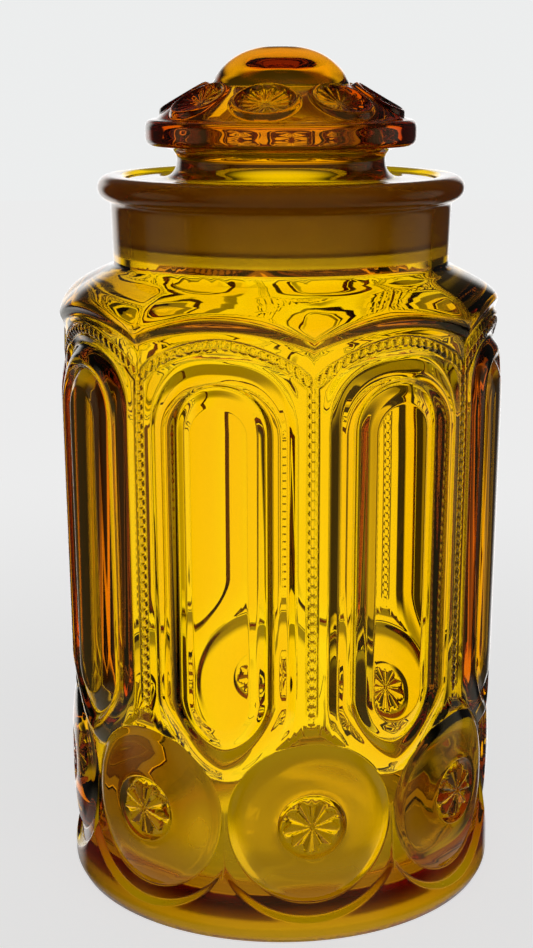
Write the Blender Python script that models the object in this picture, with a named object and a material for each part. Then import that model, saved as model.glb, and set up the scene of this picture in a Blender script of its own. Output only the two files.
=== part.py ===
"""Pressed-glass storage jar with a ground-in lid: two separate pieces of amber glass.

Metres, +Z up. The origin is on the jar's axis, on the surface it stands on. The outside of the jar
repeats eight times: a tall framed panel, a column between panels, and a round boss under each column.
One boss faces -Y. Plain stretches are turned profiles, spun about the axis. The patterned stretches
are drawn flat, as the outlines of their features, triangulated between those outlines, and wrapped
round the axis with each point pressed to the depth of its feature.
"""

import math

import bmesh
import bpy
from mathutils import Vector
from mathutils.geometry import delaunay_2d_cdt

MM = 0.001
SECTORS = 8
PITCH = 360 / SECTORS
JAR_COLUMNS = 8 * SECTORS
LID_COLUMNS = 6 * SECTORS
ARC = 1.33 * MM  # length of one degree along the body
HALF_SECTOR = PITCH / 2 * ARC

# Heights of the jar
FLOOR_TOP = 9.5 * MM
EDGE_TOP = 1.2 * MM
COLLAR_HEIGHT = 5 * MM
BOSS_HEIGHT = 42 * MM
PANEL_LOW = 84 * MM
PANEL_HIGH = 171.6 * MM
CORNICE_MIDDLE = 206.3 * MM
CORNICE_CORNER = 201.4 * MM
NECK_FOOT = 217 * MM
NECK_TOP = 238 * MM
LIP_TOP = 247 * MM
PUSH_UP = 2.5 * MM

# Radii of the jar
FOOT_OUTER = 72.8 * MM
FOOT_INNER = 60 * MM
EDGE_RADIUS = 74.3 * MM
COLLAR_RADIUS = 75.6 * MM
BODY_LOW = 75.4 * MM
BODY_HIGH = 76.4 * MM
GAP_RADIUS = 72.4 * MM
CORNICE_RADIUS = 73.7 * MM
CORNER_RADIUS = 75.7 * MM
NECK_RADIUS = 57.8 * MM
NECK_FOOT_RADIUS = 57.2 * MM
LIP_RADIUS = 62.2 * MM
LIP_ROLL = 4.2 * MM
INSIDE_RADIUS = 68.4 * MM

# A panel's outlines, as distances from its upright spine, and their depths against the body
FACE_HALF = 9.8 * MM
GROOVE_NEAR = 11.8 * MM
GROOVE_FAR = 14.4 * MM
CREST = 17.6 * MM
VALLEY = 24.3 * MM
FRAME = 26.0 * MM
FACE_DEPTH = -0.2 * MM
GROOVE_DEPTH = -3.0 * MM
CREST_DEPTH = 0.6 * MM
VALLEY_DEPTH = -2.4 * MM
VALLEY_DEPTH_UNDER_ARCH = -6.2 * MM
FRAME_DEPTH = -2.0 * MM
POINT_POWER = 1.45  # 2 would make a panel's lower end round, 1 a plain V
POINT_SQUASH = 1.12

# A boss's rings, as distances from its middle, and their radii from the jar's axis
BOSS_RADIUS = 27.2 * MM
BOSS_FOOT = 28.2 * MM
BOSS_CROWN = 76.0 * MM
BOSS_DROP = 2.2 * MM
DIMPLE_RADIUS = 10.6 * MM
DIMPLE_FLOOR = 9.2 * MM
DIMPLE_DEPTH = 1.8 * MM
STAR_HEIGHT = 1.3 * MM
BAND_RADIUS = 73.2 * MM
BAND_REACH = 33.0 * MM
COLLAR_REACH = 34.2 * MM
BOSS_RINGS = (DIMPLE_FLOOR, DIMPLE_RADIUS, 19 * MM, BOSS_RADIUS, BOSS_FOOT, BAND_REACH, COLLAR_REACH)

# Heights at which the drawing of a sector has points on the middle of a column
COLUMN_STEPS = (88 * MM, 130 * MM, 172 * MM, 188 * MM, 198.9 * MM)
CORNICE_DEPTH = 2.5 * MM
ON_LINE = 0.05 * MM  # nearer to a line than this, a point counts as on it

# Ground joint between jar and lid
MOUTH_RADIUS = 52.7 * MM
MOUTH_LOW_RADIUS = 51.2 * MM
MOUTH_LOW = 222 * MM
PLUG_TOP = 245.5 * MM
PLUG_BOTTOM = 224 * MM
JOINT_GAP = 0.3 * MM
PLUG_EDGE = 0.8 * MM

# Lid
LID_TURN = -16.45  # degrees that the lid stands turned against the jar
SLOPE_FOOT = (41.6 * MM, 265.6 * MM)
SLOPE_HEAD = (22.0 * MM, 277.0 * MM)
SLOPE_BULGE = 1.6 * MM
BUTTON_PLACE = 31.4 * MM
BUTTON_RINGS = (10.4 * MM, 8.6 * MM, 4.5 * MM)
BUTTON_HEIGHTS = (0.0, 2.6 * MM, 1.2 * MM)
BUTTON_MIDDLE = 0.5 * MM
DOME_RADIUS = 21.3 * MM
DOME_FOOT = 277.4 * MM
LID_TOP = 289 * MM


def mix(low, high, share):
    return low + (high - low) * min(max(share, 0), 1)


def along(knots, place):
    """The value at a place on a broken line of (place, value) knots."""
    for (start, low), (end, high) in zip(knots, knots[1:]):
        if place <= end:
            return mix(low, high, (place - start) / (end - start))
    return knots[-1][1]


def arc_points(middle, radii, first, last, count):
    """Points along an ellipse's arc from one angle to another, in degrees from the first axis."""
    turns = [math.radians(mix(first, last, i / (count - 1))) for i in range(count)]
    return [(middle[0] + radii[0] * math.cos(t), middle[1] + radii[1] * math.sin(t)) for t in turns]


def at(angle, radius, height):
    """A point at an angle in degrees, counted from -Y towards +X."""
    turn = math.radians(angle)
    return Vector((radius * math.sin(turn), -radius * math.cos(turn), height))


def panel_reach(side, height):
    """How far a point is from the upright spine of its panel, whose lower end is drawn to a point."""
    if height > PANEL_HIGH:
        return math.hypot(side, height - PANEL_HIGH)
    if height > PANEL_LOW:
        return abs(side)
    drop = (PANEL_LOW - height) * POINT_SQUASH
    return (abs(side) ** POINT_POWER + drop**POINT_POWER) ** (1 / POINT_POWER)


def panel_outline(reach):
    """The closed outline at one distance from a panel's spine: a round arch, two sides and a point."""
    outline = arc_points((0, PANEL_HIGH), (reach, reach), 0, 180, 11)
    for step in range(11):
        turn = math.pi * step / 10
        side = -math.copysign(abs(math.cos(turn)) ** (2 / POINT_POWER), math.cos(turn)) * reach
        drop = math.sin(turn) ** (2 / POINT_POWER) * reach / POINT_SQUASH
        outline.append((side, PANEL_LOW - drop))
    return outline


def panel_radius(side, height):
    under_arch = (height - PANEL_HIGH) / (14 * MM)
    depths = [
        (0, 0),
        (FACE_HALF, FACE_DEPTH),
        (GROOVE_NEAR, GROOVE_DEPTH),
        (GROOVE_FAR, GROOVE_DEPTH),
        (CREST, mix(CREST_DEPTH, 0, under_arch)),
        (VALLEY, mix(VALLEY_DEPTH, VALLEY_DEPTH_UNDER_ARCH, under_arch)),
        (FRAME, FRAME_DEPTH),
    ]
    body = mix(BODY_LOW, BODY_HIGH, (height - PANEL_LOW) / (PANEL_HIGH - PANEL_LOW))
    return body + along(depths, panel_reach(side, height))


def boss_radius(reach):
    crown = BOSS_CROWN - BOSS_DROP * (reach / BOSS_RADIUS) ** 2
    dimple = [
        (0, STAR_HEIGHT - DIMPLE_DEPTH),
        (DIMPLE_FLOOR, -DIMPLE_DEPTH),
        (DIMPLE_RADIUS, 0),
    ]
    return crown + along(dimple, reach)


def body_radius(side, height):
    """Outer radius of the jar between its foot and its cornice, at a distance from a panel's middle."""
    reach = math.hypot(HALF_SECTOR - abs(side), height - BOSS_HEIGHT)
    if reach < BOSS_RADIUS + ON_LINE:
        return boss_radius(reach)
    collar = along([(0, FOOT_OUTER), (EDGE_TOP, EDGE_RADIUS), (COLLAR_HEIGHT, COLLAR_RADIUS)], height)
    if height < BOSS_HEIGHT:
        step = (reach - BAND_REACH) / (COLLAR_REACH - BAND_REACH)
        return min(collar, mix(BAND_RADIUS, COLLAR_RADIUS, step))
    if panel_reach(side, height) < VALLEY + ON_LINE or reach > COLLAR_REACH - ON_LINE:
        return panel_radius(side, height)
    return GAP_RADIUS


def cornice(side):
    """Radius and height of the cornice's edge: an arch over each panel and a corner over each column."""
    share = (side / HALF_SECTOR) ** 2
    return mix(CORNICE_RADIUS, CORNER_RADIUS, share), mix(CORNICE_MIDDLE, CORNICE_CORNER, share)


def side_at(angle):
    """Distance along the body from the middle of the nearest panel, at an angle counted from -Y."""
    return (angle % PITCH - PITCH / 2) * ARC


def skin_between(bm, lines, keep, place):
    """Triangulates the flat drawing of these lines and adds each kept triangle where place puts it."""
    points, edges = [], []
    for line, closed in lines:
        first = len(points)
        points += [Vector(point) / MM for point in line]
        edges += [(i, i + 1) for i in range(first, len(points) - 1)]
        if closed:
            edges.append((len(points) - 1, first))
    flat, _, faces, *_ = delaunay_2d_cdt(points, edges, [], 1, 1e-4)
    made = {}
    for face in faces:
        middle = sum((flat[i] for i in face), Vector((0, 0))) * MM / len(face)
        if not keep(*middle):
            continue
        for i in face:
            if i not in made:
                made[i] = bm.verts.new(place(*(flat[i] * MM)))
        bm.faces.new([made[i] for i in face])


def spin_profile(bm, profile, columns, first_angle=0):
    """Adds a profile of (radius, height), spun about the axis from an angle in degrees."""
    line = [bm.verts.new(at(first_angle, radius, height)) for radius, height in profile]
    edges = [bm.edges.new(pair) for pair in zip(line, line[1:])]
    bmesh.ops.spin(
        bm,
        geom=line + edges,
        cent=(0, 0, 0),
        axis=(0, 0, 1),
        dvec=(0, 0, 0),
        angle=math.tau,
        steps=columns,
        use_merge=True,
        use_duplicate=False,
    )


def finish(name, bm, material):
    """Makes the skins one closed surface with its faces outwards, as an object of this name."""
    bmesh.ops.remove_doubles(bm, verts=bm.verts, dist=0.01 * MM)
    bmesh.ops.recalc_face_normals(bm, faces=bm.faces)
    mesh = bpy.data.meshes.new(name)
    bm.to_mesh(mesh)
    bm.free()
    mesh.materials.append(material)
    mesh.shade_smooth()
    mesh.set_sharp_from_angle(angle=math.radians(35))
    bpy.context.scene.collection.objects.link(bpy.data.objects.new(name, mesh))


def add_patterned_body(bm):
    """The eight sectors from the foot's edge to the cornice, each drawn from column to column."""
    per_sector = JAR_COLUMNS // SECTORS
    sides = [mix(-HALF_SECTOR, HALF_SECTOR, i / per_sector) for i in range(per_sector + 1)]
    top = [(side, cornice(side)[1]) for side in sides]
    bottom = [(side, EDGE_TOP) for side in reversed(sides)]
    heights = {BOSS_HEIGHT, COLLAR_HEIGHT, *COLUMN_STEPS}
    for reach in BOSS_RINGS:
        heights |= {BOSS_HEIGHT - reach, BOSS_HEIGHT + reach}
    right_edge = [(HALF_SECTOR, height) for height in sorted(heights, reverse=True) if height > EDGE_TOP]
    left_edge = [(-side, height) for side, height in reversed(right_edge)]
    lines = [(top + right_edge + bottom + left_edge, True)]
    for reach in (FACE_HALF, GROOVE_NEAR, GROOVE_FAR, CREST, VALLEY):
        lines.append((panel_outline(reach), True))
    lines.append(([(0, PANEL_LOW), (0, PANEL_HIGH)], False))
    lines.append(([(side, COLLAR_HEIGHT) for side in sides], False))
    for reach in BOSS_RINGS:
        steps = 9 if reach < BOSS_RADIUS else 15
        for centre, first, last in ((-HALF_SECTOR, -90, 90), (HALF_SECTOR, 90, 270)):
            ring = arc_points((centre, BOSS_HEIGHT), (reach, reach), first, last, steps)
            above_foot = [point for point in ring if point[1] > COLLAR_HEIGHT + 2 * MM]
            lines.append((above_foot, False))
    arch_steps = 12
    arch = [mix(-HALF_SECTOR, HALF_SECTOR, i / arch_steps) for i in range(arch_steps + 1)]
    lines.append(([(side, cornice(side)[1] - CORNICE_DEPTH) for side in arch], False))
    for sector in range(SECTORS):
        middle = (sector + 0.5) * PITCH

        def place(side, height, middle=middle):
            radius = body_radius(side, height)
            edge_radius, edge_height = cornice(side)
            if height > edge_height - ON_LINE:
                radius = edge_radius
            return at(middle + side / ARC, radius, height)

        skin_between(bm, lines, lambda side, height: height < cornice(side)[1], place)


def make_jar(material):
    bm = bmesh.new()
    inside = [
        (0, FLOOR_TOP),
        (INSIDE_RADIUS - 8 * MM, FLOOR_TOP),
        (INSIDE_RADIUS - 2.3 * MM, FLOOR_TOP + 2.4 * MM),
        (INSIDE_RADIUS, FLOOR_TOP + 8 * MM),
        (INSIDE_RADIUS, 180 * MM),
        (66.3 * MM, 192 * MM),
        (61 * MM, 204 * MM),
        (54 * MM, 213 * MM),
        (MOUTH_LOW_RADIUS, MOUTH_LOW),
        (MOUTH_RADIUS, PLUG_TOP),
        (MOUTH_RADIUS + 1.8 * MM, LIP_TOP - 0.2 * MM),
    ]
    roll_middle = (LIP_RADIUS - LIP_ROLL, LIP_TOP - LIP_ROLL)
    lip = arc_points(roll_middle, (LIP_ROLL, LIP_ROLL), 90, -75, 6)
    neck = [(NECK_RADIUS, NECK_TOP), (NECK_FOOT_RADIUS, NECK_FOOT)]
    spin_profile(bm, inside + lip + neck, JAR_COLUMNS)
    foot = [
        (EDGE_RADIUS, EDGE_TOP),
        (FOOT_OUTER, 0),
        (FOOT_INNER, 0),
        (FOOT_INNER - 4 * MM, PUSH_UP),
        (0, PUSH_UP),
    ]
    spin_profile(bm, foot, JAR_COLUMNS)

    rows = 5
    shoulder = []
    for column in range(JAR_COLUMNS):
        angle = column * 360 / JAR_COLUMNS
        edge_radius, edge_height = cornice(side_at(angle))
        line = []
        for row in range(rows):
            fall = row / (rows - 1)
            radius = mix(NECK_FOOT_RADIUS, edge_radius, math.sin(math.pi / 2 * fall))
            line.append(bm.verts.new(at(angle, radius, mix(NECK_FOOT, edge_height, fall))))
        shoulder.append(line)
    for left, right in zip(shoulder, shoulder[1:] + shoulder[:1]):
        for row in range(rows - 1):
            bm.faces.new((left[row], left[row + 1], right[row + 1], right[row]))
    add_patterned_body(bm)
    finish("jar_body", bm, material)


def slope_point(radius):
    """Height of the lid's plain shoulder at a radius, and the slope's outward normal."""
    share = min(max((SLOPE_FOOT[0] - radius) / (SLOPE_FOOT[0] - SLOPE_HEAD[0]), 0), 1)
    height = mix(SLOPE_FOOT[1], SLOPE_HEAD[1], share) + SLOPE_BULGE * math.sin(math.pi * share)
    length = math.dist(SLOPE_FOOT, SLOPE_HEAD)
    normal = (SLOPE_HEAD[1] - SLOPE_FOOT[1]) / length, (SLOPE_FOOT[0] - SLOPE_HEAD[0]) / length
    return height, normal


def add_lid_shoulder(bm):
    """The lid's sloping shoulder, drawn in plan, with its eight dished buttons standing on it."""
    steepness = math.atan2(SLOPE_HEAD[1] - SLOPE_FOOT[1], SLOPE_FOOT[0] - SLOPE_HEAD[0])
    lines = []
    for radius in (SLOPE_FOOT[0], SLOPE_HEAD[0]):
        circle = [at(LID_TURN + i * 360 / LID_COLUMNS, radius, 0).xy for i in range(LID_COLUMNS)]
        lines.append((circle, True))
    middles = [at(LID_TURN + sector * PITCH, BUTTON_PLACE, 0).xy for sector in range(SECTORS)]
    for middle in middles:
        outward = middle.normalized()
        sideways = Vector((-outward.y, outward.x))
        for ring in BUTTON_RINGS:
            outline = arc_points((0, 0), (ring * math.cos(steepness), ring), 0, 330, 12)
            lines.append(([middle + outward * up + sideways * side for up, side in outline], True))
        lines.append(([middle], False))

    def place(x, y):
        plan = Vector((x, y))
        radius = plan.length
        height, normal = slope_point(radius)
        reaches = []
        for middle in middles:
            outward = middle.normalized()
            offset = plan - middle
            up = offset.dot(outward)
            reaches.append(math.hypot(up / math.cos(steepness), (offset - outward * up).length))
        knots = [(0, BUTTON_MIDDLE)] + sorted(zip(BUTTON_RINGS, BUTTON_HEIGHTS))
        lift = along(knots, min(reaches))
        if min(radius - SLOPE_HEAD[0], SLOPE_FOOT[0] - radius) < ON_LINE:
            lift = 0
        outwards = plan.normalized()
        return Vector((*(plan + outwards * normal[0] * lift), height + normal[1] * lift))

    dome_edge = SLOPE_HEAD[0] * math.cos(math.pi / LID_COLUMNS)
    skin_between(bm, lines, lambda x, y: math.hypot(x, y) > dome_edge, place)


def make_lid(material):
    bm = bmesh.new()
    hollow = [
        (0, 277 * MM),
        (9 * MM, 276.6 * MM),
        (18 * MM, 273.4 * MM),
        (25 * MM, 266 * MM),
        (28 * MM, 257 * MM),
        (29 * MM, 249 * MM),
        (33 * MM, 244.6 * MM),
        (43 * MM, 241.5 * MM),
        (45.6 * MM, 237.5 * MM),
        (46.9 * MM, PLUG_BOTTOM + PLUG_EDGE),
        (47.6 * MM, PLUG_BOTTOM),
    ]
    taper = (MOUTH_RADIUS - MOUTH_LOW_RADIUS) / (PLUG_TOP - MOUTH_LOW)
    plug_low = MOUTH_LOW_RADIUS - JOINT_GAP + taper * (PLUG_BOTTOM - MOUTH_LOW)
    plug_high = MOUTH_RADIUS - JOINT_GAP
    plug = [
        (plug_low - PLUG_EDGE, PLUG_BOTTOM),
        (plug_low, PLUG_BOTTOM + PLUG_EDGE),
        (plug_high - taper * PLUG_EDGE, PLUG_TOP - PLUG_EDGE),
        (plug_high - PLUG_EDGE, PLUG_TOP),
    ]
    waist = [
        (39.5 * MM, PLUG_TOP + 0.2 * MM),
        (36.8 * MM, 247.4 * MM),
        (35.3 * MM, 250.2 * MM),
        (35.3 * MM, 252.8 * MM),
        (37.2 * MM, 255.2 * MM),
        (42.6 * MM, 256.3 * MM),
    ]
    rim = arc_points((42.2 * MM, 260.9 * MM), (3.6 * MM, 4.4 * MM), -65, 75, 6)
    spin_profile(bm, hollow + plug + waist + rim + [SLOPE_FOOT], LID_COLUMNS, LID_TURN)
    add_lid_shoulder(bm)
    dome = arc_points((0, DOME_FOOT), (DOME_RADIUS, LID_TOP - DOME_FOOT), 8, 90, 6)
    dome[-1] = (0, LID_TOP)
    spin_profile(bm, [SLOPE_HEAD] + dome, LID_COLUMNS, LID_TURN)
    finish("lid", bm, material)


def glass(name, colour, roughness):
    material = bpy.data.materials.new(name)
    material.use_nodes = True
    shader = material.node_tree.nodes["Principled BSDF"]
    shader.inputs["Base Color"].default_value = colour
    shader.inputs["Roughness"].default_value = roughness
    shader.inputs["Metallic"].default_value = 0
    shader.inputs["IOR"].default_value = 1.52
    shader.inputs["Transmission Weight"].default_value = 0.6
    return material


def main():
    for old in list(bpy.data.objects):
        bpy.data.objects.remove(old, do_unlink=True)
    make_jar(glass("amber_glass", (0.80, 0.42, 0.02, 1), 0.04))
    make_lid(glass("dark_amber_glass", (0.62, 0.27, 0.01, 1), 0.05))


main()
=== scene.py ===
"""Amber pressed-glass storage jar with a ground-in lid, in a plain light tent.

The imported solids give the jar's size, its bodies and its one joint. Each piece of glass is made
again here as one closed shell, fine enough for light to bend through its pattern as in real glass.
The pattern can't be pulled out of a primitive, because its ridges, beads and bosses run into each
other. So half a sector is drawn flat as outlines and rings, triangulated, wrapped round the axis
and repeated. Lengths in the modelling functions are millimetres. Angles are degrees from -Y to +X.
"""

import math

import bmesh
import bpy
import numpy as np
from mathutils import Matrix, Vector
from mathutils.geometry import delaunay_2d_cdt


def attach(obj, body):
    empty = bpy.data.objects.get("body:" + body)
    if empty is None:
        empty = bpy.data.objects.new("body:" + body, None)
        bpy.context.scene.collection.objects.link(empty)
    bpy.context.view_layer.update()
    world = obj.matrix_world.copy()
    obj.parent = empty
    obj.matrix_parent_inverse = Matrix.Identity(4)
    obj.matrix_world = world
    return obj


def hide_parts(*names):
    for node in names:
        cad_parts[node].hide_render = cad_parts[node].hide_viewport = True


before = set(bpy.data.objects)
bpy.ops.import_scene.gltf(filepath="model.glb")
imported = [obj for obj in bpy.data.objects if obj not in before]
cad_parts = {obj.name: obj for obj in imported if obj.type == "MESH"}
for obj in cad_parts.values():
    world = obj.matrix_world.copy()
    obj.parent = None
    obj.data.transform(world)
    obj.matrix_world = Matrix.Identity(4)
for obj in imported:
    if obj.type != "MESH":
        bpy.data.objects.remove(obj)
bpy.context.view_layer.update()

MM = 0.001
SECTORS = 8
PITCH = 360 / SECTORS
ARC = 1.33  # length of one degree in the drawing of the body
HALF = PITCH / 2 * ARC
COLUMNS = 144  # columns of every turned surface, which the borders of the sectors meet
BORDER_STEPS = COLUMNS // (2 * SECTORS)

# ---------------------------------------------------------------- curves


def ease(share):
    share = np.clip(share, 0, 1)
    return share * share * (3 - 2 * share)


def rounded(knots, radius):
    """A broken line of (place, value) knots with soft corners, as a function of place."""
    step = 0.04
    places = np.arange(knots[0][0] - 4 * radius, knots[-1][0] + 4 * radius + step, step)
    values = np.interp(places, *zip(*knots))
    reach = np.arange(-3 * radius, 3 * radius + step / 2, step)
    weight = np.exp(-0.5 * (reach / radius) ** 2)
    edge = len(reach) // 2
    padded = np.concatenate([np.full(edge, values[0]), values, np.full(edge, values[-1])])
    soft = np.convolve(padded, weight / weight.sum(), "valid")[: len(places)]
    return lambda place: np.interp(place, places, soft)


def relaxed(knots, spacing, rounds=3):
    """A profile with its corners cut, then sampled evenly."""
    line = np.asarray(knots, float)
    for _ in range(rounds):
        quarter = line[:-1] * 0.75 + line[1:] * 0.25
        three = line[:-1] * 0.25 + line[1:] * 0.75
        inner = np.stack([quarter, three], 1).reshape(-1, 2)
        line = np.concatenate([line[:1], inner, line[-1:]])
    run = np.concatenate([[0], np.cumsum(np.hypot(*np.diff(line, axis=0).T))])
    count = max(2, int(round(run[-1] / spacing)) + 1)
    places = np.linspace(0, run[-1], count)
    return np.stack([np.interp(places, run, line[:, i]) for i in (0, 1)], -1)


def arc(middle, radius, first, last, count):
    turns = np.radians(np.linspace(first, last, count))
    return [(middle[0] + radius * math.cos(t), middle[1] + radius * math.sin(t)) for t in turns]


def one(function, *values):
    """A function of arrays, at a single place."""
    return float(function(*(np.array([value]) for value in values))[0])


# ---------------------------------------------------------------- the jar's pattern

EDGE_TOP = 1.2
BOSS_HEIGHT = 42.0
PANEL_LOW = 84.0
PANEL_HIGH = 171.6
CORNICE_MIDDLE = 206.3
CORNICE_CORNER = 201.2
NECK_FOOT = 217.0
NECK_FOOT_RADIUS = 57.2

# Outlines of a panel: distance from its spine, the roundness of its head and foot, and how far
# its head and foot reach beyond the ends of the spine, as a share of that distance
OUTLINES = np.array([0, 9.8, 14.4, 17.6, 24.3, 34])
HEAD_POWER = np.array([2, 2, 2.1, 2.2, 2.8, 2.8])
HEAD_REACH = np.array([0.98, 0.98, 1.0, 1.0, 0.96, 0.96])
FOOT_POWER = np.array([2, 2, 1.75, 1.42, 2.0, 2.2])
FOOT_REACH = np.array([0.98, 0.98, 1.08, 1.26, 1.23, 1.1])


def head_shape(reach):
    return np.interp(reach, OUTLINES, HEAD_POWER), np.interp(reach, OUTLINES, HEAD_REACH)


def foot_shape(reach):
    return np.interp(reach, OUTLINES, FOOT_POWER), np.interp(reach, OUTLINES, FOOT_REACH)


def panel_reach(side, height):
    """Which outline of its panel a point lies on, as that outline's distance from the spine."""
    side = np.abs(side)
    up = np.maximum(height - PANEL_HIGH, 0)
    down = np.maximum(PANEL_LOW - height, 0)
    low, high = np.zeros(side.shape), np.full(side.shape, 80.0)
    beyond = np.maximum(up, down)
    for _ in range(26):
        middle = (low + high) / 2
        head_power, head_stretch = head_shape(middle)
        foot_power, foot_stretch = foot_shape(middle)
        power = np.where(up > 0, head_power, foot_power)
        stretch = np.where(up > 0, head_stretch, foot_stretch)
        size = np.maximum(middle, 1e-6)
        outside = (side / size) ** power + (beyond / (stretch * size)) ** power > 1
        low, high = np.where(outside, middle, low), np.where(outside, high, middle)
    return np.where(beyond > 0, (low + high) / 2, side)


# How far a panel stands off the body at each of its outlines, on its sides, head and foot
PANEL_SIDE = rounded(
    [
        (0, 0.05), (9.3, 0), (12.0, -0.9), (15.2, -2.8), (16.4, -0.6), (17.4, 0.1), (19.2, 0.35),
        (21.8, 0.0), (24.6, -2.0), (40, -2.0),
    ],
    0.26,
)
PANEL_HEAD = rounded(
    [
        (0, -0.1), (9.4, -0.1), (12.6, -1.1), (15.0, -2.5), (16.4, -1.4), (17.8, -1.1),
        (19.6, -1.6), (23.0, -4.0), (24.3, -4.0), (27.5, -2.3), (40, -2.0),
    ],
    0.4,
)
PANEL_FOOT = rounded(
    [
        (0, 0), (9.4, -0.1), (12.6, -0.9), (15.2, -2.3), (16.4, -0.7), (17.6, -0.3),
        (19.2, -0.7), (22.5, -2.6), (40, -2.8),
    ],
    0.32,
)
BODY = rounded([(0, 75.2), (60, 75.2), (90, 75.45), (171, 76.4), (215, 76.4)], 3)


def panel_radius(side, height):
    reach = panel_reach(side, height)
    head = ease((height - PANEL_HIGH) / 21)
    foot = ease((PANEL_LOW - height) / 16)
    depth = PANEL_SIDE(reach) * (1 - head - foot)
    depth = depth + PANEL_HEAD(reach) * head + PANEL_FOOT(reach) * foot
    return BODY(height) + depth


# Beads lie in a shallow channel, in a row down each column and over each arch
BEAD_PITCH = 3.1
BEAD_LOW = 75.9
BEADS_DOWN = 37
BEAD_LENGTH = 1.5
BEAD_WIDTH = 1.55
BEAD_HEIGHT = 0.7
COLUMN_TOP = 189.5
CHANNEL_HALF = 2.2
CHANNEL_DEPTH = 0.45
ARCH_RIGHT = [5, 8, 11.5, 15, 18, 21, 24.5, 27.3, 29.925]
ARCH_SIDES = np.array([-side for side in ARCH_RIGHT[::-1]] + [0] + ARCH_RIGHT)
ARCH_RISE = [187.6, 189.6, 192.0, 193.7, 195.2, 196.4, 197.6, 198.5, 199.2, 199.8]
ARCH_HEIGHTS = np.array(ARCH_RISE + ARCH_RISE[-2::-1])
ARCH_BEADS = 20
arch_line = rounded(list(zip(ARCH_SIDES, ARCH_HEIGHTS)), 0.8)


def arch_run(side):
    """Length along the bead arch from its middle."""
    places = np.linspace(-HALF, HALF, 601)
    steps = np.hypot(np.diff(places), np.diff(arch_line(places)))
    run = np.concatenate([[0], np.cumsum(steps)])
    return np.interp(side, places, run - run[-1] / 2)


ARCH_LENGTH = 2 * float(arch_run(HALF))
ARCH_PITCH = ARCH_LENGTH / (ARCH_BEADS + 1)


def arch_offset(side, height):
    slope = (arch_line(side + 0.2) - arch_line(side - 0.2)) / 0.4
    return (height - arch_line(side)) / np.sqrt(1 + slope**2)


def bead(along, across, pitch):
    away = (np.mod(along + pitch / 2, pitch) - pitch / 2) / BEAD_LENGTH
    return BEAD_HEIGHT * np.sqrt(np.clip(1 - away**2 - (across / BEAD_WIDTH) ** 2, 0, 1))


def channel(across):
    return -CHANNEL_DEPTH * ease((CHANNEL_HALF - np.abs(across)) / 0.7)


def beads(side, height):
    off_column = HALF - np.abs(side)
    down = height - BEAD_LOW
    on_column = (down > -BEAD_PITCH / 2) & (down < (BEADS_DOWN - 0.5) * BEAD_PITCH)
    column_end = ease((height - BEAD_LOW + 2.2) / 0.9) * ease((COLUMN_TOP - height) / 2)
    column = np.where(on_column, bead(down, off_column, BEAD_PITCH), 0)
    offset = arch_offset(side, height)
    run = arch_run(side)
    in_arch = np.abs(run) < ARCH_LENGTH / 2 - 0.5 * ARCH_PITCH
    arch = np.where(in_arch, bead(run + ARCH_PITCH / 2, offset, ARCH_PITCH), 0)
    arch_end = ease((ARCH_LENGTH / 2 - np.abs(run)) / 2)
    below_arch = ease((arch_line(side) + 1 - height) / 1.2)
    in_column = np.clip(-channel(off_column) / CHANNEL_DEPTH * column_end, 0, 1)
    return (
        column
        + arch
        + channel(off_column) * column_end * below_arch
        + channel(offset) * arch_end * (1 - in_column)
    )


# The cornice's profile downwards from its edge: thin over a panel, thick over a column
CORNICE_OVER_PANEL = rounded(
    [(-5, -0.2), (0, -0.35), (0.7, -0.8), (2.4, -1.5), (3.3, -1.3), (4.6, -0.1), (40, 0)], 0.3
)
CORNICE_OVER_COLUMN = rounded(
    [(-5, 1.6), (0, 1.6), (1.3, 1.4), (3.2, 0.5), (5.4, -0.1), (40, 0)], 0.4
)


def cornice_height(side):
    share = (np.abs(side) / HALF) ** 2
    return CORNICE_MIDDLE + (CORNICE_CORNER - CORNICE_MIDDLE) * share


def cornice_ledge(side, height):
    drop = np.maximum(cornice_height(side) - height, 0)
    share = (np.abs(side) / HALF) ** 2
    return CORNICE_OVER_PANEL(drop) * (1 - share) + CORNICE_OVER_COLUMN(drop) * share


WEDGE_TOP = 76.4
WEDGE_RISE = 1.5


def foot_wedge(side, height):
    """The little raised triangle between a column's foot and the boss below it."""
    off_column = HALF - np.abs(side)
    half_width = np.clip((WEDGE_TOP - height) * 1.2, 0, 9)
    rise = WEDGE_RISE * ease((WEDGE_TOP - height) / 4.5)
    return np.maximum(rise - 0.75 * np.maximum(off_column - half_width, 0), 0)


# A boss by distance from its middle: its domed face, the dimple in it, and the band below it
BOSS_WIDER = 1.03  # a boss is a little wider than it is tall
BOSS_EDGE = 28.8
BAND_EDGE = 35.6
COLLAR_TOP = 5.6
BOSS_FACE = rounded(
    [
        (0, 76.0), (8, 75.81), (14, 75.42), (19, 74.93), (22.5, 74.5), (24.8, 74.0),
        (27.4, 72.8), (28.2, 72.5), (40, 72.5),
    ],
    0.5,
)
DIMPLE = rounded([(0, -2.0), (9.3, -2.0), (10.4, -1.1), (11.2, 0.0), (40, 0.0)], 0.25)
BAND = rounded([(0, 73.0), (27.8, 73.0), (33.0, 73.3), (34.0, 75.5), (60, 75.6)], 0.25)
COLLAR = rounded([(-3, 72.8), (0, 72.8), (1.2, 74.3), (3.0, 75.3), (5.2, 75.6), (60, 75.6)], 0.3)
PETALS = 10
PETAL_TURN = 9
STAR_RADIUS = 9.3


def petal_share(turn):
    """0 between two petals and 1 on the ridge of one."""
    return 1 - np.abs(2 * np.mod(turn * PETALS / 360, 1) - 1)


def petal_tip(turn):
    return STAR_RADIUS - 2.7 * (1 - petal_share(turn)) ** 1.2


def boss_reach(side, height):
    return np.hypot((HALF - np.abs(side)) / BOSS_WIDER, height - BOSS_HEIGHT)


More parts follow.
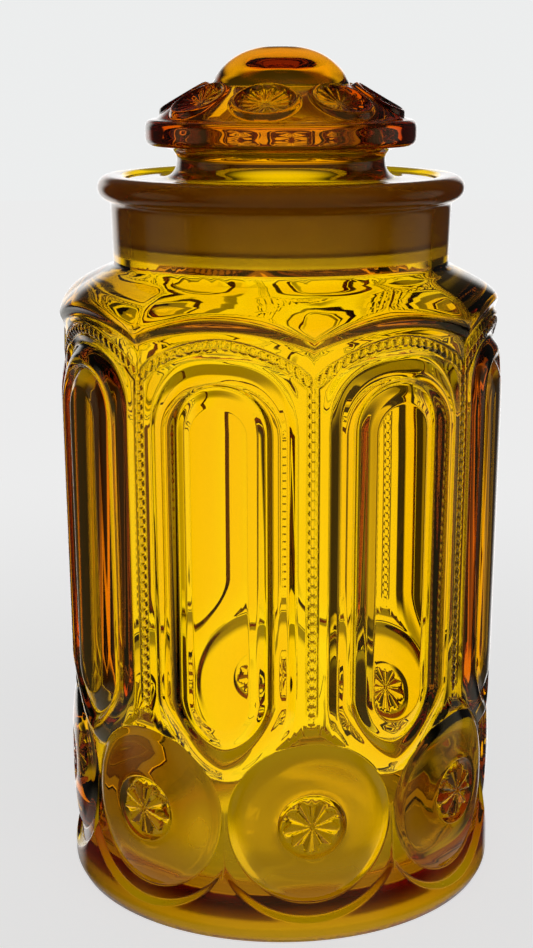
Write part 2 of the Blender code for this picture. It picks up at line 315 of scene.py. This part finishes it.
def boss_radius(side, height):
    off = np.where(side > 0, side - HALF, side + HALF)
    reach = boss_reach(side, height)
    turn = np.degrees(np.arctan2(off, height - BOSS_HEIGHT)) + PETAL_TURN
    ridge = petal_share(turn) ** 0.75
    out = np.clip(reach / 8.5, 0, 1)
    valley = -0.7 - 1.3 * out
    top = -0.35 + 0.35 * out
    star = valley + (top - valley) * ridge
    within = ease((petal_tip(turn) - reach) / 0.45 + 0.5)
    floor = DIMPLE(reach)
    return BOSS_FACE(reach) + np.where(reach < 10, floor + (star - floor) * within, floor)


def body_radius(side, height):
    """Outer radius of the jar from its base to the foot of its neck."""
    side, height = np.asarray(side, float), np.asarray(height, float)
    top = cornice_height(side)
    wall = panel_radius(side, np.minimum(height, top)) + cornice_ledge(side, height)
    wall = wall + beads(side, height)
    wedge = np.maximum(wall, panel_radius(side, height) + foot_wedge(side, height))
    wall = np.where(height < 80, wedge, wall)
    edge = panel_radius(side, top) + cornice_ledge(side, top)
    rise = np.clip((height - top) / (NECK_FOOT - top), 0, 1)
    shoulder = NECK_FOOT_RADIUS + (edge - NECK_FOOT_RADIUS) * np.cos(np.pi / 2 * rise)
    wall = np.where(height > top, shoulder, wall)
    reach = boss_reach(side, height)
    below = np.minimum(BAND(reach), COLLAR(height))
    low = ease((BOSS_HEIGHT + 3 - height) / 6)
    around = np.where(height > 90, wall, wall * (1 - low) + below * low)
    inside = ease((28.3 - reach) / 0.5)
    boss = np.minimum(boss_radius(side, height), COLLAR(height))
    return around + (boss - around) * inside


# ---------------------------------------------------------------- drawing one sector

PANEL_LINES = [
    0, 3.2, 6.4, 8.6, 9.0, 9.4, 9.8, 10.4, 11.4, 12.2, 12.7, 13.4, 14.2, 14.7, 15.0, 15.3, 15.6,
    15.9, 16.2, 16.5, 16.9, 17.3, 17.8, 18.5, 19.3, 20.2, 21.2, 21.8, 22.3, 22.8, 23.4, 24.0,
    24.4, 24.8, 25.3, 26.2, 27.2,
]
STAR_LINES = [0.12, 0.25, 0.4, 0.55, 0.7, 0.82, 0.9, 0.955, 1.0, 1.05]
BOSS_LINES = [
    9.9, 10.3, 10.7, 11.1, 11.6, 13.5, 16, 18.5, 21, 23, 24.4, 25.4, 26.0, 26.5, 27.0, 27.4,
    27.8, 28.1, 28.4, BOSS_EDGE,
]
BAND_LINES = [29.6, 31.2, 32.4, 32.9, 33.2, 33.5, 33.8, 34.1, 34.5, 35.5]
FOOT_LINES = [1.8, 2.5, 3.3, 4.2, 5.2]
COLUMN_LINES = [0, 0.5, 0.95, 1.3, 1.55, 1.9, 2.4, 2.9]
ARCH_LINES = [0, 0.5, 0.95, 1.3, 1.55, 2.0, 2.5]
CORNICE_LINES = [-0.5, 0, 0.35, 0.8, 1.3, 1.9, 2.4, 2.9, 3.4, 3.9, 4.6]
SHOULDER_LINES = [0.1, 0.2, 0.3, 0.42, 0.54, 0.66, 0.78, 0.9, 1.0]
BEADED = 1.8  # lines closer than this to a row of beads have five points to a bead
ARCH_ROOM = 2.7


def everywhere(side, height):
    return True


class Drawing:
    """Points and lines on a plane, where a new point is left out beside an older one."""

    def __init__(self):
        self.points, self.edges, self.cells = [], [], {}

    def add(self, side, height, clear):
        cell = (math.floor(side), math.floor(height))
        for i in range(-1, 2):
            for j in range(-1, 2):
                for other in self.cells.get((cell[0] + i, cell[1] + j), ()):
                    x, y = self.points[other]
                    if (x - side) ** 2 + (y - height) ** 2 < clear**2:
                        return None
        self.points.append((side, height))
        self.cells.setdefault(cell, []).append(len(self.points) - 1)
        return len(self.points) - 1

    def line(self, points, keep=everywhere, clear=0.12):
        last = None
        for side, height in points:
            now = self.add(side, height, clear) if keep(side, height) else None
            if last is not None and now is not None:
                self.edges.append((last, now))
            last = now

    def close(self, borders, near):
        """Moves points onto the side borders and joins them up, so that the halves meet exactly."""
        for border in borders:
            on_border = []
            for index, (side, height) in enumerate(self.points):
                if abs(side - border) < near:
                    self.points[index] = (border, height)
                    on_border.append((height, index))
            on_border.sort()
            self.edges += [(a[1], b[1]) for a, b in zip(on_border, on_border[1:])]

    def triangles(self):
        places = [Vector(point) for point in self.points]
        flat, _, faces, *_ = delaunay_2d_cdt(places, self.edges, [], 0, 1e-5)
        return np.array([tuple(point) for point in flat]), [tuple(face) for face in faces]


def in_boss(side, height, beyond=0.0):
    reach = math.hypot((HALF - side) / BOSS_WIDER, height - BOSS_HEIGHT)
    in_band = height < BOSS_HEIGHT and reach < BAND_EDGE + beyond
    return reach < BOSS_EDGE + beyond or in_band


def draw_boss(drawing):
    for turn in np.arange(0, 60) * 6.0 + PETAL_TURN:
        tip = one(petal_tip, turn + 0.0)
        around = math.radians(turn - PETAL_TURN)
        c, s = math.cos(around), math.sin(around)
        for share in STAR_LINES:
            if s < 1e-9:
                drawing.add(HALF + s * tip * share, BOSS_HEIGHT + c * tip * share, 0.1)
    drawing.add(HALF, BOSS_HEIGHT, 0.1)

    def boss(side, height):
        return side >= -1e-6 and height > COLLAR_TOP

    def band(side, height):
        return boss(side, height) and height < BOSS_HEIGHT - 1

    for reach in BOSS_LINES + BAND_LINES:
        count = 32 if reach < 20 else 44
        ring = []
        for i in range(count + 1):
            t = math.pi * i / count
            side = HALF - reach * BOSS_WIDER * math.sin(t)
            ring.append((side, BOSS_HEIGHT + reach * math.cos(t)))
        drawing.line(ring, band if reach > BOSS_EDGE else boss, 0.14)


def draw_foot(drawing):
    drawing.line([(side, EDGE_TOP) for side in np.linspace(0, HALF, BORDER_STEPS + 1)])
    for height in FOOT_LINES:
        drawing.line([(side, height) for side in np.linspace(0, HALF, 19)])


def draw_beads(drawing):
    def under_arch(side, height):
        return height < one(arch_line, side) - 2.3 and not in_boss(side, height)

    rows = np.arange(BEAD_LOW - BEAD_PITCH, 190.6, BEAD_PITCH / 5)
    for across in COLUMN_LINES:
        heights = rows if across < BEADED else rows[::3]
        drawing.line([(HALF - across, height) for height in heights], under_arch, 0.1)

    def in_sector(side, height):
        return -1e-6 <= side <= HALF + 1e-6

    fine = np.linspace(0, HALF, 2000)
    runs = np.arange(0, ARCH_LENGTH / 2 + 1e-6, ARCH_PITCH / 5)
    sides = np.interp(runs, arch_run(fine), fine)
    for across in ARCH_LINES:
        for sign in (-1, 1) if across else (1,):
            line = []
            for side in sides if across < BEADED else sides[::3]:
                slope = (one(arch_line, side + 0.2) - one(arch_line, side - 0.2)) / 0.4
                size = math.hypot(1, slope)
                place = side - sign * across * slope / size
                line.append((place, one(arch_line, side) + sign * across / size))
            drawing.line(line, in_sector, 0.12)


def draw_shoulder(drawing):
    def off_arch(side, height):
        return not abs(one(arch_offset, side, height)) < ARCH_ROOM

    sides = np.linspace(0, HALF, 31)
    for drop in CORNICE_LINES:
        line = [(side, float(cornice_height(side)) - drop) for side in sides]
        drawing.line(line, off_arch, 0.15)
    sides = np.linspace(0, HALF, BORDER_STEPS + 1)
    for rise in SHOULDER_LINES:
        cornices = [float(cornice_height(side)) for side in sides]
        drawing.line([(s, c * (1 - rise) + NECK_FOOT * rise) for s, c in zip(sides, cornices)])


def outline(reach, turns):
    """One outline of a panel, at the same turns for every outline so that they line up."""
    head_power, head_stretch = head_shape(reach)
    foot_power, foot_stretch = foot_shape(reach)
    points = []
    for kind, place in turns:
        if kind == "side":
            points.append((reach, place))
            continue
        c, s = math.cos(place), math.sin(place)
        if kind == "head":
            height = PANEL_HIGH + head_stretch * reach * s ** (2 / head_power)
            points.append((reach * c ** (2 / head_power), height))
        else:
            height = PANEL_LOW - foot_stretch * reach * s ** (2 / foot_power)
            points.append((reach * c ** (2 / foot_power), height))
    return points


def draw_panel(drawing):
    def in_panel(side, height):
        return (
            not in_boss(side, height, 0.2)
            and side < HALF - 3.0
            and one(arch_line, side) - height > ARCH_ROOM
        )

    turns = [("head", t) for t in np.linspace(math.pi / 2, 0, 23)]
    turns += [("side", height) for height in np.linspace(PANEL_HIGH, PANEL_LOW, 13)[1:-1]]
    turns += [("foot", t) for t in np.linspace(0, math.pi / 2, 21)]
    for reach in PANEL_LINES:
        drawing.line(outline(reach, turns), in_panel, 0.14)


def fill_between(drawing):
    """Points on a loose grid, wherever no line has been drawn."""
    spacing = 2.4
    for i, height in enumerate(np.arange(6.6, 208, spacing)):
        for side in np.arange(0, HALF + 0.1, spacing) + (spacing / 2 if i % 2 else 0):
            if side > HALF or (in_boss(side, height) and height >= 9):
                continue
            if one(panel_reach, side, height) > 25 and height < float(cornice_height(side)):
                drawing.add(side, height, 1.0)


def draw_sector():
    """Half a sector of the body, from the middle of a panel to the middle of a column."""
    drawing = Drawing()
    draw_boss(drawing)
    draw_foot(drawing)
    draw_beads(drawing)
    draw_shoulder(drawing)
    draw_panel(drawing)
    fill_between(drawing)
    drawing.close((0.0, HALF), 0.02)
    return drawing.triangles()


# ---------------------------------------------------------------- shells


def turned(faces, mirror):
    return faces if mirror > 0 else [face[::-1] for face in faces]


class Shell:
    """Points and faces that become one closed mesh."""

    def __init__(self):
        self.points, self.normals, self.ground, self.faces = [], [], [], []
        self.count = 0

    def add(self, points, faces, normals=None, ground=None):
        points = np.asarray(points, float)
        n = len(points)
        self.points.append(points)
        self.normals.append(np.zeros((n, 3)) if normals is None else normals)
        self.ground.append(np.zeros(n) if ground is None else ground)
        self.faces += [tuple(int(i) + self.count for i in face) for face in faces]
        self.count += n

    def spin(self, profile, ground=None, first=0.0):
        """Turns (radius, height) about the axis. ground is each point's share of ground glass."""
        profile = np.asarray(profile, float)
        rows = len(profile)
        turn = np.radians(first + np.arange(COLUMNS) * 360 / COLUMNS)[:, None]
        radius, height = profile[:, 0][None, :], profile[:, 1][None, :]
        places = [radius * np.sin(turn), -radius * np.cos(turn), height + 0 * turn]
        faces = []
        for c in range(COLUMNS):
            n = (c + 1) % COLUMNS
            for r in range(rows - 1):
                faces.append((c * rows + r, n * rows + r, n * rows + r + 1, c * rows + r + 1))
        share = None if ground is None else np.tile(np.asarray(ground, float), COLUMNS)
        self.add(np.stack(places, -1).reshape(-1, 3), faces, ground=share)

    def build(self, name, body, node, material):
        """The shell as an object in metres that rides on a body in place of its plain solid."""
        bm = bmesh.new()
        normal_layer = bm.verts.layers.float_vector.new("set_normal")
        ground_layer = bm.verts.layers.float.new("ground")
        points = np.concatenate(self.points) * MM
        normals, ground = np.concatenate(self.normals), np.concatenate(self.ground)
        corners = []
        for i in range(len(points)):
            vert = bm.verts.new(points[i])
            vert[normal_layer] = normals[i]
            vert[ground_layer] = ground[i]
            corners.append(vert)
        for face in self.faces:
            if len(set(face)) == len(face):
                bm.faces.new([corners[i] for i in face])
        bmesh.ops.remove_doubles(bm, verts=bm.verts, dist=0.004 * MM)
        bmesh.ops.dissolve_degenerate(bm, edges=bm.edges, dist=0.001 * MM)
        bmesh.ops.recalc_face_normals(bm, faces=bm.faces)
        open_edges = sum(1 for edge in bm.edges if not edge.is_manifold)
        print(name, "faces", len(bm.faces), "open edges", open_edges)
        mesh = bpy.data.meshes.new(name)
        bm.to_mesh(mesh)
        bm.free()
        mesh.shade_smooth()
        mesh.set_sharp_from_angle(angle=math.radians(50))
        set_normals(mesh)
        mesh.materials.append(material)
        made = bpy.data.objects.new(name, mesh)
        bpy.context.scene.collection.objects.link(made)
        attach(made, body)
        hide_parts(node)
        return made


def set_normals(mesh):
    """Gives the patterned surface its exact normals, so that light bends through it smoothly."""
    wanted = np.zeros(len(mesh.vertices) * 3, np.float32)
    mesh.attributes["set_normal"].data.foreach_get("vector", wanted)
    wanted = wanted.reshape(-1, 3)
    own = np.zeros(len(mesh.vertices) * 3, np.float32)
    mesh.vertex_normals.foreach_get("vector", own)
    own = own.reshape(-1, 3)
    exact = np.linalg.norm(wanted, axis=1) > 0.5
    final = np.where(exact[:, None], wanted, own)
    mesh.normals_split_custom_set_from_vertices(final.tolist())
    mesh.attributes.remove(mesh.attributes["set_normal"])


# ---------------------------------------------------------------- the jar

WALL_RADIUS = 68.4
FLOOR_HEIGHT = 9.5
MOUTH_RADIUS = 51.2
MOUTH_LOW = 222
MOUTH_DEPTH = 23.5
MOUTH_WIDENS = 1.5
CORNER_INSIDE = [
    (30, 9.6), (50, 9.9), (60.5, 11.8), (66.5, 17.6), (68.2, 27.4), (WALL_RADIUS, 36),
    (WALL_RADIUS, 44),
]
SHOULDER_INSIDE = [
    (WALL_RADIUS, 180), (WALL_RADIUS, 192), (68.0, 200), (65.5, 205), (60.5, 208.3), (55, 211),
    (51.7, 214.5), (MOUTH_RADIUS, MOUTH_LOW),
]
LIP_MIDDLE = (58.0, 242.8)
LIP_RADIUS = 4.2
LIP_INSIDE = [(53.0, 246.1), (53.8, 246.75), (55.0, 247.0)]
UNDER_LIP = [(58.55, 238.3), (58.1, 237.9), (57.85, 237.2), (57.8, 236.0)]
NECK = [(57.7, 232), (57.5, 226), (57.35, 221.5), (57.25, 219), (NECK_FOOT_RADIUS, NECK_FOOT)]
# The foot from its edge to the middle: radius, height, and wear from 0 (clear) to 1 (ground)
FOOT = [
    (74.0, 0.6, 0), (73.4, 0.15, 0), (72.8, 0, 0), (71.9, 0, 0), (71.2, 0, 1), (60, 0, 1),
    (58.6, 0.5, 1), (56.5, 1.8, 1), (54, 2.4, 0.6), (30, 2.5, 0.12), (0, 2.5, 0.1),
]


def add_body(shell):
    flat, faces = draw_sector()
    side, height = flat[:, 0], flat[:, 1]
    radius = body_radius(side, height)
    step = 0.03
    by_side = body_radius(side + step, height) - body_radius(side - step, height)
    by_side = by_side / (2 * step)
    by_height = body_radius(side, height + step) - body_radius(side, height - step)
    by_height = by_height / (2 * step)
    by_side = np.where((side < 0.01) | (side > HALF - 0.01), 0, by_side)
    # One degree is ARC long in the drawing and radius * pi / 180 on the glass
    by_turn = by_side * ARC * 180 / math.pi / radius
    for sector in range(SECTORS):
        for mirror in (1, -1):
            turn = np.radians((sector + 0.5) * PITCH + mirror * side / ARC)
            points = np.stack([radius * np.sin(turn), -radius * np.cos(turn), height], -1)
            outward = np.stack([np.sin(turn), -np.cos(turn), 0 * turn], -1)
            tangent = np.stack([np.cos(turn), np.sin(turn), 0 * turn], -1)
            normal = outward - mirror * by_turn[:, None] * tangent
            normal[:, 2] = -by_height
            normal /= np.linalg.norm(normal, axis=1)[:, None]
            shell.add(points, turned(faces, mirror), normal)


def make_jar(material):
    shell = Shell()
    add_body(shell)
    middle = [(0, FLOOR_HEIGHT), (20, FLOOR_HEIGHT)]
    wall = [(WALL_RADIUS, height) for height in range(60, 176, 12)]
    corner, shoulder = relaxed(CORNER_INSIDE, 1.8), relaxed(SHOULDER_INSIDE, 1.8)
    inside = np.concatenate([middle, corner, wall, shoulder])
    up = np.linspace(0, 1, 5)
    mouth = np.stack([MOUTH_RADIUS + MOUTH_WIDENS * up, MOUTH_LOW + MOUTH_DEPTH * up], -1)
    lip = arc(LIP_MIDDLE, LIP_RADIUS, 90, -78, 14)
    profile = np.concatenate([inside, mouth[1:], LIP_INSIDE, lip, UNDER_LIP, NECK])
    ground = np.zeros(len(profile))
    ground[len(inside) - 1 : len(inside) + len(mouth) - 1] = 1
    shell.spin(profile, ground)
    foot = [(one(body_radius, 0.0, EDGE_TOP), EDGE_TOP, 0)] + FOOT
    shell.spin([point[:2] for point in foot], [worn for *_, worn in foot])
    return shell.build("jar_glass", "jar", "jar_body", material)


# ---------------------------------------------------------------- the lid

LID_TURN = -16.45
SLOPE_FOOT = (41.6, 265.6)
SLOPE_HEAD = (23.2, 276.3)
SLOPE_LENGTH = math.hypot(SLOPE_FOOT[0] - SLOPE_HEAD[0], SLOPE_HEAD[1] - SLOPE_FOOT[1])
SLOPE_IN = (SLOPE_FOOT[0] - SLOPE_HEAD[0]) / SLOPE_LENGTH
SLOPE_UP = (SLOPE_HEAD[1] - SLOPE_FOOT[1]) / SLOPE_LENGTH
BUTTON_CIRCLE = 32.5
BUTTON_OVAL = 0.93
BUTTON = rounded(
    [
        (0, -0.9), (2.0, -0.8), (5, -0.3), (8.2, 0.5), (9.2, 1.5), (9.9, 1.6), (10.7, 0.9),
        (11.3, 0.0), (40, 0),
    ],
    0.25,
)
BUTTON_LINES = [
    12.1, 11.8, 11.5, 11.2, 10.8, 10.4, 10.0, 9.6, 9.3, 8.9, 8.5, 8.1, 7.2, 6.0, 4.8, 3.6, 2.4, 1.3,
]
RAYS = 14
SLOPE_SCALE = 0.55  # length of one degree in the drawing of the slope
GAP = 0.3  # between the plug and the mouth
LID_HOLLOW = [
    (0, 279.6), (9, 279.3), (14, 276.9), (19, 272.5), (25, 265), (28, 257), (29, 249),
    (33, 244.6), (43, 241.5), (45.6, 237.5), (46.6, 228), (46.9, 224.9), (47.6, 224.0),
]
LID_WAIST = [
    (52.4, 245.1), (52.2, 245.75), (50, 245.8), (42, 245.7), (38.2, 246.2), (36.0, 248.2),
    (35.3, 250.5), (35.3, 252.8), (36.2, 254.9), (39.5, 256.1), (43.7, 256.9),
]
LID_DOME = [
    SLOPE_HEAD, (22.9, 277.2), (22.0, 278.8), (21.2, 280.3), (19.6, 282.3), (16.6, 284.9),
    (12.5, 287.2), (7, 288.8), (2.5, 289), (0, 289),
]


def slope_height(turn, radius):
    """How far the lid's slope stands off its straight line, by degrees from a button's middle."""
    across = radius * np.sin(np.radians(turn))
    along = (BUTTON_CIRCLE - radius * np.cos(np.radians(turn))) / SLOPE_IN / BUTTON_OVAL
    reach = np.hypot(across, along)
    share = np.clip((SLOPE_FOOT[0] - radius) / (SLOPE_FOOT[0] - SLOPE_HEAD[0]), 0, 1)
    bulge = 1.6 * 4 * share * (1 - share)
    around = np.degrees(np.arctan2(across, along))
    ray = 1 - np.abs(2 * np.mod(around * RAYS / 360, 1) - 1)
    pleat = 0.75 * (ray - 0.45) * ease((reach - 0.8) / 4) * ease((8.9 - reach) / 0.7)
    under = ease((reach - 9) / 2.5)
    inside = (share > 0.001) & (share < 0.999)
    return np.where(inside, bulge * under + 0.8 * (1 - under) + BUTTON(reach) + pleat, 0)


def slope_place(turn, radius):
    height = slope_height(turn, radius)
    fall = (SLOPE_FOOT[0] - radius) / SLOPE_IN
    out = radius + height * SLOPE_UP
    up = SLOPE_FOOT[1] + fall * SLOPE_UP + height * SLOPE_IN
    return np.stack([out * np.sin(np.radians(turn)), -out * np.cos(np.radians(turn)), up], -1)


def draw_slope():
    """Half a sector of the lid's slope, from the middle of a button, as turn and radius."""
    drawing = Drawing()
    half = PITCH / 2 * SLOPE_SCALE
    for radius in (SLOPE_FOOT[0], SLOPE_HEAD[0]):
        border = [(half * i / BORDER_STEPS, radius) for i in range(BORDER_STEPS + 1)]
        drawing.line(border, everywhere, 0.05)

    def in_slope(side, height):
        return side <= half + 1e-6 and SLOPE_HEAD[0] + 0.15 < height < SLOPE_FOOT[0] - 0.15

    for reach in BUTTON_LINES:
        ring = []
        count = 2 * RAYS
        for i in range(count + 1):
            spin = math.pi * i / count
            across = reach * math.sin(spin)
            radius = BUTTON_CIRCLE - reach * math.cos(spin) * SLOPE_IN * BUTTON_OVAL
            turn = math.degrees(math.atan2(across, radius))
            ring.append((turn * SLOPE_SCALE, math.hypot(across, radius)))
        drawing.line(ring, in_slope, 0.06)
    for radius in np.arange(SLOPE_HEAD[0] + 1, SLOPE_FOOT[0], 1.3):
        for i in range(9):
            drawing.add(half * i / 8, float(radius), 0.6)
    drawing.close((0.0, half), 0.03)
    return drawing.triangles()


def add_slope(shell):
    flat, faces = draw_slope()
    turn, radius = flat[:, 0] / SLOPE_SCALE, flat[:, 1]
    step = 0.02
    by_turn = slope_place(turn + step, radius) - slope_place(turn - step, radius)
    by_radius = slope_place(turn, radius - step) - slope_place(turn, radius + step)
    normal = np.cross(by_turn, by_radius)
    normal /= np.linalg.norm(normal, axis=1)[:, None]
    points = slope_place(turn, radius)
    inner = (radius > SLOPE_HEAD[0] + 0.01) & (radius < SLOPE_FOOT[0] - 0.01)
    for sector in range(SECTORS):
        for mirror in (1, -1):
            shift = math.radians(LID_TURN + sector * PITCH)
            c, s = math.cos(shift), math.sin(shift)
            x, y = points[:, 0] * mirror, points[:, 1]
            nx, ny = normal[:, 0] * mirror, normal[:, 1]
            moved = np.stack([x * c - y * s, x * s + y * c, points[:, 2]], -1)
            facing = np.stack([nx * c - ny * s, nx * s + ny * c, normal[:, 2]], -1)
            shell.add(moved, turned(faces, mirror), np.where(inner[:, None], facing, 0))


def make_lid(material):
    shell = Shell()
    add_slope(shell)
    hollow = relaxed(LID_HOLLOW, 1.6)
    plug_low = MOUTH_RADIUS - GAP + 2 * MOUTH_WIDENS / MOUTH_DEPTH
    plug_end = [(48.4, 223.95), (plug_low - 0.9, 224.0), (plug_low - 0.25, 224.25)]
    plug = [
        (plug_low + (LID_WAIST[0][0] - plug_low) * t, 224.8 + 20.3 * t)
        for t in np.linspace(0, 1, 12)
    ]
    rim = []
    for turn in np.radians(np.linspace(-62, 82, 21)):
        c, s = math.cos(turn), math.sin(turn)
        rim.append((42.2 + 3.6 * abs(c) ** 0.6, 260.9 + 4.4 * math.copysign(abs(s) ** 0.6, s)))
    waist = relaxed(LID_WAIST, 0.9)
    profile = np.concatenate([hollow, plug_end, plug, waist[1:], rim, [SLOPE_FOOT]])
    ground = np.zeros(len(profile))
    first = len(hollow) + len(plug_end)
    ground[first : first + len(plug)] = 1
    shell.spin(profile, ground, LID_TURN)
    shell.spin(relaxed(LID_DOME, 0.9), None, LID_TURN)
    return shell.build("lid_glass", "lid", "lid", material)


# ---------------------------------------------------------------- glass

AMBER = (0.985, 0.93, 0.0)
GROUND_ROUGHNESS = 0.9


def glass(name, density):
    """Amber glass that deepens with thickness, and is frosted where the mesh says it is ground."""
    material = bpy.data.materials.new(name)
    material.use_nodes = True
    tree = material.node_tree
    shader = tree.nodes["Principled BSDF"]
    shader.inputs["Base Color"].default_value = (0.99, 0.93, 0.8, 1)
    shader.inputs["IOR"].default_value = 1.52
    shader.inputs["Transmission Weight"].default_value = 1
    shader.inputs["Specular Tint"].default_value = (1, 0.75, 0.3, 1)
    volume = tree.nodes.new("ShaderNodeVolumeAbsorption")
    volume.inputs["Color"].default_value = (*AMBER, 1)
    volume.inputs["Density"].default_value = density
    tree.links.new(volume.outputs["Volume"], tree.nodes["Material Output"].inputs["Volume"])
    ground = tree.nodes.new("ShaderNodeAttribute")
    ground.attribute_name = "ground"
    rough = tree.nodes.new("ShaderNodeMath")
    rough.operation = "MULTIPLY"
    rough.inputs[1].default_value = GROUND_ROUGHNESS
    tree.links.new(ground.outputs["Fac"], rough.inputs[0])
    tree.links.new(rough.outputs[0], shader.inputs["Roughness"])
    return material


# ---------------------------------------------------------------- studio

FRAME_HEIGHT = 948
SENSOR = 36
CAMERA_AWAY = 0.5909
CAMERA_HEIGHT = 0.2855
CAMERA_TURN = -7.75
CAMERA_DOWN = 13.64
CAMERA_LENS = 1720 / FRAME_HEIGHT * SENSOR
CAMERA_SHIFT = -14.5 / FRAME_HEIGHT
BACK_START, BACK_END = 0.36, 0.56  # where the bright backdrop starts and stops fading, sideways


def add_camera():
    data = bpy.data.cameras.new("camera")
    data.sensor_fit = "AUTO"
    data.sensor_width = SENSOR
    data.lens = CAMERA_LENS
    data.clip_start, data.clip_end = 0.05, 50
    data.shift_x = CAMERA_SHIFT
    made = bpy.data.objects.new("camera", data)
    turn = math.radians(CAMERA_TURN)
    made.location = (CAMERA_AWAY * math.sin(turn), -CAMERA_AWAY * math.cos(turn), CAMERA_HEIGHT)
    made.rotation_euler = (math.radians(90 - CAMERA_DOWN), 0, turn)
    bpy.context.scene.collection.objects.link(made)
    bpy.context.scene.camera = made


def fade(tree, value, start, end, low, high):
    """A soft step of a value from low at start to high at end."""
    node = tree.nodes.new("ShaderNodeMapRange")
    node.interpolation_type = "SMOOTHSTEP"
    node.inputs["From Min"].default_value = start
    node.inputs["From Max"].default_value = end
    node.inputs["To Min"].default_value = low
    node.inputs["To Max"].default_value = high
    tree.links.new(value, node.inputs["Value"])
    return node.outputs[0]


def join(tree, kind, first, *others):
    for other in others:
        node = tree.nodes.new("ShaderNodeMath")
        node.operation = kind
        tree.links.new(first, node.inputs[0])
        tree.links.new(other, node.inputs[1])
        first = node.outputs[0]
    return first


def add_light():
    """A bright backdrop behind the glass, with dimmer light from the sides, the front and below."""
    world = bpy.data.worlds.new("tent")
    bpy.context.scene.world = world
    world.use_nodes = True
    tree = world.node_tree
    place = tree.nodes.new("ShaderNodeTexCoord")
    split = tree.nodes.new("ShaderNodeSeparateXYZ")
    tree.links.new(place.outputs["Generated"], split.inputs[0])
    x, y, z = split.outputs["X"], split.outputs["Y"], split.outputs["Z"]
    backdrop = join(
        tree,
        "MULTIPLY",
        fade(tree, y, 0.3, 0.5, 0, 1.3),
        fade(tree, x, -BACK_END, -BACK_START, 0, 1),
        fade(tree, x, BACK_END, BACK_START, 0, 1),
        fade(tree, z, -0.38, -0.45, 1, 0.3),
        fade(tree, z, 0.34, 0.12, 0.05, 1),
    )
    light = join(
        tree,
        "MAXIMUM",
        backdrop,
        fade(tree, z, -0.44, -0.6, 0.03, 0.4),
        fade(tree, y, -0.4, -0.75, 0.03, 0.32),
        fade(tree, x, 0.9, 0.98, 0, 0.38),
        fade(tree, x, -0.9, -0.98, 0, 0.38),
    )
    tree.links.new(light, tree.nodes["Background"].inputs["Color"])


def stage_material(name):
    material = bpy.data.materials.new(name)
    material.use_nodes = True
    shader = material.node_tree.nodes["Principled BSDF"]
    shader.inputs["Specular IOR Level"].default_value = 0
    shader.inputs["Emission Strength"].default_value = 1
    return material, shader


def stage_piece(name, material):
    """Names and coats the shape just added, which the glass neither mirrors nor shows."""
    piece = bpy.context.object
    piece.name = piece.data.name = name
    piece.data.materials.append(material)
    piece.visible_glossy = False
    piece.visible_transmission = False
    return piece


def add_floor():
    """A floor that takes the jar's soft shadow and turns as pale as the tent further out."""
    material, shader = stage_material("pale floor")
    shader.inputs["Roughness"].default_value = 0.7
    tree = material.node_tree
    place = tree.nodes.new("ShaderNodeTexCoord")
    length = tree.nodes.new("ShaderNodeVectorMath")
    length.operation = "LENGTH"
    tree.links.new(place.outputs["Object"], length.inputs[0])
    away = length.outputs["Value"]
    tree.links.new(fade(tree, away, 0.1, 0.6, 0.75, 0), shader.inputs["Base Color"])
    tree.links.new(fade(tree, away, 0.1, 0.6, 0.68, 0.84), shader.inputs["Emission Color"])
    bpy.ops.mesh.primitive_circle_add(vertices=64, radius=3, fill_type="NGON")
    floor = stage_piece("floor", material)


def add_tent():
    """A pale tent that only the camera sees."""
    material, shader = stage_material("pale tent")
    shader.inputs["Base Color"].default_value = (0, 0, 0, 1)
    shader.inputs["Emission Color"].default_value = (0.84, 0.85, 0.85, 1)
    bpy.ops.mesh.primitive_uv_sphere_add(segments=64, ring_count=32, radius=4)
    tent = stage_piece("tent", material)
    tent.visible_diffuse = False
    tent.visible_volume_scatter = False
    tent.visible_shadow = False


bpy.ops.object.select_all(action="DESELECT")
add_camera()
add_light()
add_floor()
add_tent()
jar = make_jar(glass("amber_glass", 600))
lid = make_lid(glass("dark_amber_glass", 650))
bpy.context.scene.view_settings.view_transform = "Standard"
bpy.context.scene.cycles.max_bounces = 24
bpy.context.scene.cycles.transmission_bounces = 24
